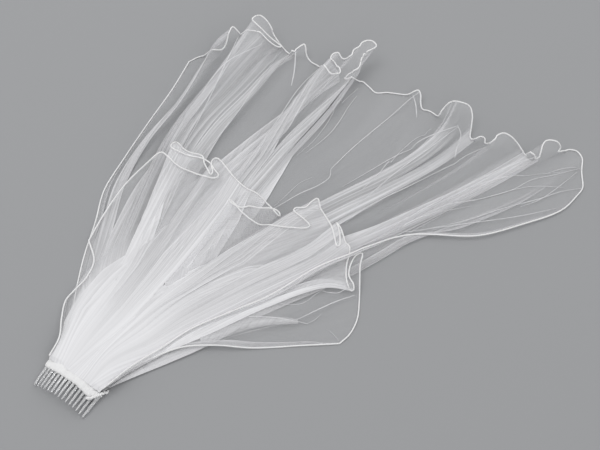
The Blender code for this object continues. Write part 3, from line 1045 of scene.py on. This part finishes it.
    def side_folds(self, width: float, count: int, cloth: float, share: float,
                   seed: int) -> tuple[np.ndarray, np.ndarray, float]:
        """Lay cloth into folds that each lie back over the one before.

        Args:
            width: Width on the form that the folds fill.
            count: Number of folds.
            cloth: Width of the cloth that goes in.
            share: Place from the band to the hem, from 0 to 1.
            seed: Seed of the folds' unevenness.

        Returns:
            The turns' places and heights, and the layers of net in each layer of the sheet.
        """
        random = np.random.RandomState(seed)
        ends = random.uniform(0.45, 1.15, count)
        sizes = random.uniform(0.5, 1.5, count)
        wander = random.uniform(0, 2 * math.pi, count)
        fullness = max(cloth / max(width, 1e-6), 1.0)
        each = width / count
        far = share * self.cut_length - self.fold_start
        reach = min((min(fullness, self.most_layers) - 1) / 2 * each,
                    self.most_reach * ease(far / self.fold_run))
        places, heights = [0.0], [0.0]
        for index in range(count):
            kept = sizes[index] * (1 - 0.85 * ease((share - ends[index] + 0.2) / 0.35))
            over = reach * kept
            sway = 0.3 * each * math.sin(2.4 * math.pi * share + wander[index])
            last = index == count - 1
            places.extend([each * (index + 1) + over + sway,
                           each * (index + 1) + (0.0 if last else sway)])
            heights.extend([self.fold_rise * min(over / 3.0, 1.0) * (0.6 + 0.4 * sizes[index]),
                            0.0])
        laid = 1 + 2 * reach / max(each, 1e-6)
        return np.array(places), np.array(heights), max(fullness / laid, 1.0)

    def lay(self, form: np.ndarray, stops: list[int],
            floor_height: Callable[[np.ndarray], np.ndarray]) -> Sheet:
        """Lay the cloth on its form: folds in the bundles, one layer between them.

        Args:
            form: Rows by columns by (x, y, z) in millimetres.
            stops: Columns of the bundles.
            floor_height: Height of what the tier lies on, from plan points.

        Returns:
            The laid sheet.
        """
        step = self.cut_width / (self.fine - 1)
        rows = []
        for share, line in zip(self.shares(), form):
            run = run_along(line)
            across, raised, layers, flat, turns = [], [], [], [], []
            for index, (first, last) in enumerate(zip(stops, stops[1:])):
                spans = self.spans(run[last] - run[first], (last - first) * step,
                                   self.bundles[index], self.bundles[index + 1], share,
                                   self.seed * 100 + index * 2)
                for kept, values in zip((across, raised, layers, flat, turns), spans):
                    kept.append(values)
                across[-1] = across[-1] + run[first]
                flat[-1] = flat[-1] + first * step
            across, raised = np.concatenate(across), np.concatenate(raised)
            across = np.clip(across, 0, run[-1])
            points = np.stack([np.interp(across, run, axis) for axis in line.T], axis=1)
            length = share * self.cut_length
            calm = 1 - ease((length - self.relief_start) / self.calm_run)
            points[:, 2] += calm * (running_mean(points[:, 2], self.calm_width) - points[:, 2])
            under = floor_height(points[:, :2]) * ease(length / 4.0) + self.over_floor
            points[:, 2] = np.maximum(points[:, 2], under)
            points[:, 2] += raised * (0.1 + 0.9 * ease((length - self.relief_start)
                                                       / self.relief_run))
            near = 1 - ease(length / self.dense_length)
            dense = self.tightness * self.cut_width / run[-1]
            dense *= self.edge_cover(across, self.thin_left * length)
            dense *= self.edge_cover(run[-1] - across, self.thin_right * length)
            counts = np.concatenate(layers)
            mixed = 1 - ease((length - self.mix_start) / self.mix_run)
            counts = (mixed * running_mean(counts, self.mix_widths[0])
                      + (1 - mixed) * running_mean(counts, self.mix_widths[1]))
            layers = (1 - near) * counts + near * dense
            layers *= 1 + (self.turn_glow * np.concatenate(turns)
                           * ease((length - self.mix_start) / self.glow_run))
            rows.append((points, layers, np.concatenate(flat)))
        return Sheet(*(np.array(part) for part in zip(*rows)))

    def edge_cover(self, inside: np.ndarray, width: float) -> np.ndarray:
        """Return how dense the gathers are at distances from an edge that thins out."""
        return 0.05 + 0.95 * ease(inside / max(width, 1e-3))

    def spans(self, room: float, cloth: float, before: Bundle, after: Bundle, share: float,
              seed: int) -> tuple:
        """Share out the cloth between two bundles.

        Args:
            room: Length of the form from one bundle to the next.
            cloth: Width of the cloth between them.
            before: The bundle on the left.
            after: The bundle on the right.
            share: Place from the band to the hem.
            seed: Seed of the folds' unevenness.

        Returns:
            Each column's place, height, layers, place on the flat cloth and whether the
            cloth turns there.
        """
        one, other = before.right, after.left
        swell = 0.95 + 1.9 * (1 - share) ** 1.6
        widths = np.array([one[0] * swell, other[0] * swell])
        widths *= min(1.0, 0.94 * room / max(widths.sum(), 1e-6))
        window = room - widths.sum()
        bound = max(cloth - window, widths.sum())
        window_cloth = cloth - bound
        parts = widths * (np.array([one[1], other[1]]) + 0.5)
        parts = bound * parts / parts.sum()

        left = self.side_folds(widths[0], one[1], parts[0], share, seed)
        right = self.side_folds(widths[1], other[1], parts[1], share, seed + 1)
        across, raised, layers, flat, turns = [], [], [], [], []
        for mirrored, (places, heights, count), part, density in (
                (False, left, parts[0], before.layers_at),
                (True, right, parts[1], after.layers_at)):
            knots = np.linspace(0, len(places) - 1, (len(places) - 1) * self.fold_steps + 1)
            numbers = np.arange(len(places))
            spots = np.interp(knots, numbers, places)
            lifts = np.interp(knots, numbers, heights)
            used = knots / knots[-1] * part
            turned = np.where(np.arange(len(knots)) % self.fold_steps == 0, 1.0, 0.0)
            turned *= np.minimum(lifts.max() / self.fold_rise, 1.0)
            if mirrored:
                spots, lifts, used = room - spots[::-1], lifts[::-1], cloth - used[::-1]
            across.append(spots)
            raised.append(lifts)
            layers.append(np.full(len(knots), count * density(share)))
            flat.append(used)
            turns.append(turned)
        columns = max(int(cloth / self.window_step), 6)
        middle = (np.arange(columns) + 0.5) / columns
        across.insert(1, widths[0] + middle * window)
        raised.insert(1, np.zeros(columns))
        between = max(window_cloth / max(window, 1e-6), before.beyond)
        layers.insert(1, np.full(columns, between))
        flat.insert(1, parts[0] + middle * window_cloth)
        turns.insert(1, np.zeros(columns))
        drop = slice(None, -1)
        return tuple(np.concatenate([part[0], part[1], part[2][drop]])
                     for part in (across, raised, layers, flat, turns))

    def shape(self, floor_height: Callable[[np.ndarray], np.ndarray]) -> None:
        """Lay the sheet over what it lies on, given as a height at plan points."""
        form, self.stops = self.form(floor_height)
        self.sheet = self.lay(form, self.stops, floor_height)

    def rise_over(self, height_at: Callable[[np.ndarray], np.ndarray], since: int) -> None:
        """Bring the cloth after one bundle up until its edge lies over another piece.

        Args:
            height_at: Height of the other piece's top at plan points.
            since: The bundle where the rise starts.
        """
        start = self.stops[since] * self.cut_width / (self.fine - 1)
        for line, flat in zip(self.sheet.points, self.sheet.flat):
            share = ease((flat - start) / (self.cut_width - start))
            over = share * height_at(line[:, :2])
            line[:, 2] = np.maximum(line[:, 2], over)

    def build(self, finish: Tulle, cord: bpy.types.Material,
              rests_on: Sequence[str] = ()) -> bpy.types.Object:
        """Build the sheet, its corded edge and its creases.

        Args:
            finish: The net.
            cord: Material of the corded edge.
            rests_on: Names of the pieces that it lies on; not used.

        Returns:
            The sheet.
        """
        points = self.sheet.points
        along = np.broadcast_to(self.shares()[:, None] * self.cut_length, points.shape[:2])
        cloth = np.stack([self.sheet.flat, along], axis=2) * MM
        material = finish.material()
        sheet = cloth_mesh(self.name, to_frame(points), self.sheet.layers, cloth)
        log.info("%s: %d points across, %d triangles", self.name, points.shape[1],
                 2 * (points.shape[0] - 1) * (points.shape[1] - 1))
        dress(sheet, material)
        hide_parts(self.node)
        edge = self.build_edge(cord)
        if self.creases:
            self.build_creases(material)
        return sheet

    def build_edge(self, cord: bpy.types.Material) -> bpy.types.Object:
        """Run the cord down one side, along the hem and back up the other side."""
        hem = self.sheet.points[-1].copy()
        run = run_along(hem)
        hem[:, 2] += 0.4 + self.frill * (1 + drift(run, 23.0, self.seed + 70)) / 2
        side = slice(2, -1)
        left = self.sheet.points[side, 0] + (0, 0, 0.4)
        right = self.sheet.points[side, -1][::-1] + (0, 0, 0.4)
        path = np.concatenate([left, hem, right])
        top = self.height_map(0.3, cell=2.0, widen=1, blur=0)(path[:, :2])
        path[:, 2] = np.maximum(path[:, 2], running_mean(np.maximum(path[:, 2], top), 5))
        edge = cord_curve(self.name + "_edge", to_frame(path), 0.0021)
        dress(edge, cord)
        return edge

    def build_creases(self, material: bpy.types.Material) -> bpy.types.Object:
        """Lay the pinched folds on the cloth as narrow strips of several layers."""
        points = self.sheet.points.reshape(-1, 3)
        verts, faces, layers = [], [], []
        for crease in self.creases:
            path = smooth_path(crease.course, 8)
            along = np.gradient(path, axis=0)
            sideways = np.stack([-along[:, 1], along[:, 0]], 1)
            sideways /= np.linalg.norm(sideways, axis=1)[:, None]
            start = len(verts)
            for index, (place, side) in enumerate(zip(path, sideways)):
                share = index / (len(path) - 1)
                half = crease.width / 2 * math.sin(math.pi * (0.12 + 0.76 * share)) ** 0.6
                near = np.linalg.norm(points[:, :2] - place, axis=1) < 7.0
                height = points[near, 2].max() if near.any() else 1.0
                for offset, rise in ((-half, 0.2), (0.0, 1.0), (half, 0.2)):
                    spot = place + side * offset
                    verts.append((spot[0], spot[1], height + rise))
                    layers.append(crease.layers * (1.0 if offset == 0.0 else 0.27))
            for row in range(len(path) - 1):
                for column in range(2):
                    corner = start + row * 3 + column
                    faces.append((corner, corner + 1, corner + 4, corner + 3))
        mesh = bpy.data.meshes.new(self.name + "_creases")
        mesh.from_pydata(to_frame(np.array(verts)).tolist(), [], faces)
        attribute = mesh.attributes.new("layers", "FLOAT", "POINT")
        attribute.data.foreach_set("value", np.array(layers, np.float32))
        uv = mesh.uv_layers.new(name="cloth")
        flat = np.array([np.array(verts[loop.vertex_index][:2]) * MM for loop in mesh.loops])
        uv.data.foreach_set("uv", flat.ravel().astype(np.float32))
        obj = link_mesh(self.name + "_creases", mesh)
        dress(obj, material)
        return obj

    def height_map(self, clearance: float, cell: float = 4.0, widen: int = 4,
                   blur: int = 3) -> Callable:
        """Return a function for the height of the tier's top, widened and softened.

        Args:
            clearance: How far over the cloth the height is taken.
            cell: Width of the map's cells.
            widen: How many cells the highest places spread.
            blur: How many times neighbouring cells are averaged.

        Returns:
            The function, from plan points to heights.
        """
        points = self.sheet.points.reshape(-1, 3)
        low = points[:, :2].min(axis=0) - 15 * cell
        size = ((points[:, :2].max(axis=0) - low) / cell).astype(int) + 16
        heights = np.zeros(size)
        cells = ((points[:, :2] - low) / cell).astype(int)
        np.maximum.at(heights, (cells[:, 0], cells[:, 1]), points[:, 2] + clearance)
        shifts = [(x, y) for x in (-1, 0, 1) for y in (-1, 0, 1)]
        for _ in range(widen):
            heights = np.max([np.roll(heights, shift, (0, 1)) for shift in shifts], axis=0)
        for _ in range(blur):
            heights = np.mean([np.roll(heights, shift, (0, 1)) for shift in shifts], axis=0)

        def height_at(place: np.ndarray) -> np.ndarray:
            """Return the softened height at plan points."""
            where = (place - low) / cell - 0.5
            corner = np.clip(where.astype(int), 0, np.array(size) - 2)
            part = where - corner
            x, y = corner.T
            near = heights[x, y] * (1 - part[:, 0]) + heights[x + 1, y] * part[:, 0]
            far = heights[x, y + 1] * (1 - part[:, 0]) + heights[x + 1, y + 1] * part[:, 0]
            return near * (1 - part[:, 1]) + far * part[:, 1]

        return height_at


def running_mean(values: np.ndarray, width: int) -> np.ndarray:
    """Return the running mean of values over an odd number of them."""
    return np.convolve(np.pad(values, width // 2, "edge"), np.ones(width) / width, "valid")


def bare_floor(place: np.ndarray) -> np.ndarray:
    """Return the height of the bare floor at plan points."""
    return np.zeros(len(place))


@dataclass
class Studio:
    """Floor, lights and the camera at the photograph's angle."""

    azimuth: float = 34.0
    elevation: float = 65.0
    lens: float = 85.0
    sensor: float = 36.0
    mm_per_pixel: float = 1.35
    picture_width: int = 600
    target: tuple[float, float] = (116.4, 345.1)

    def build(self) -> None:
        """Build all of the studio."""
        self.floor()
        self.lights()
        self.camera()
        bpy.context.scene.cycles.transparent_max_bounces = 64
        bpy.context.scene.view_settings.view_transform = "Standard"

    def floor(self) -> None:
        """Lay the plain pale floor."""
        bpy.ops.mesh.primitive_plane_add(size=6.0, location=(0, 0, 0))
        floor = bpy.context.object
        floor.name = "floor"
        floor.data.materials.append(Floor().material())

    def lights(self) -> None:
        """Hang the soft lights and set the even surround."""
        for name, place, size, power in (
                ("key", (-1.3, 0.3, 2.2), 1.6, 14.0),
                ("fill", (1.6, -1.2, 2.0), 1.8, 4.5),
                ("back", (0.4, 1.9, 1.6), 1.4, 5.0)):
            light = bpy.data.lights.new(name, "AREA")
            light.shape = "DISK"
            light.size = size
            light.energy = power
            lamp = bpy.data.objects.new(name, light)
            lamp.location = place
            lamp.rotation_euler = (-Vector(place)).to_track_quat("-Z", "Y").to_euler()
            bpy.context.scene.collection.objects.link(lamp)
        world = bpy.data.worlds.new("surround")
        world.use_nodes = True
        world.node_tree.nodes["Background"].inputs["Color"].default_value = (1, 1, 1, 1)
        world.node_tree.nodes["Background"].inputs["Strength"].default_value = 0.72
        bpy.context.scene.world = world

    def camera(self) -> None:
        """Set the camera where the photograph was taken from."""
        distance = self.picture_width * self.mm_per_pixel * self.lens / self.sensor
        up, turn = math.radians(self.elevation), math.radians(self.azimuth)
        away = np.array([math.sin(turn) * math.cos(up), -math.cos(turn) * math.cos(up),
                         math.sin(up)])
        target = to_frame(np.array([*self.target, 0.0]))
        data = bpy.data.cameras.new("camera")
        data.lens = self.lens
        data.sensor_width = self.sensor
        camera = bpy.data.objects.new("camera", data)
        camera.location = Vector(target + away * distance * MM)
        camera.rotation_euler = (-Vector(away)).to_track_quat("-Z", "Y").to_euler()
        bpy.context.scene.collection.objects.link(camera)
        bpy.context.scene.camera = camera


def main() -> None:
    """Build the studio and the veil, piece by piece."""
    logging.basicConfig(level=logging.INFO, format="%(message)s")
    Studio().build()
    comb = Comb().build(ClearPlastic())
    log.info("comb: %s", comb.name)
    band = Heading().build(GatheredBand())
    log.info("heading: %s", band.name)
    cord = Cord().material()
    ruffle = CornerRuffle().build(cord)
    log.info("corner: %s", ruffle.name)
    long_tier = Tier("long_tulle_sheet", "long_tier", "long_tulle", LONG_HEM, LONG_BUNDLES,
                     LONG_ROLLS, start=-1.3, fine=1400, rows=96, cut_width=1400.0,
                     cut_length=700.0, seed=11, creases=LONG_CREASES, thin_right=0.7)
    short_tier = Tier("short_tulle_sheet", "short_tier", "short_tulle", SHORT_HEM,
                      SHORT_BUNDLES, (), start=2.3, fine=1100, rows=72, cut_width=1270.0,
                      cut_length=380.0, seed=31, gather_out=3.6, gather_right=40.5,
                      thin_right=0.4, creases=SHORT_CREASES, fold_start=90.0, fold_run=160.0)
    long_tier.shape(bare_floor)
    short_tier.shape(long_tier.height_map(0.9))
    long_tier.rise_over(short_tier.height_map(0.9), since=-2)
    long_tier.build(Tulle("long tulle"), cord)
    log.info("long tier built")
    short_tier.build(Tulle("short tulle"), cord, [long_tier.name])
    log.info("short tier built")


if __name__ == "__main__":
    main()
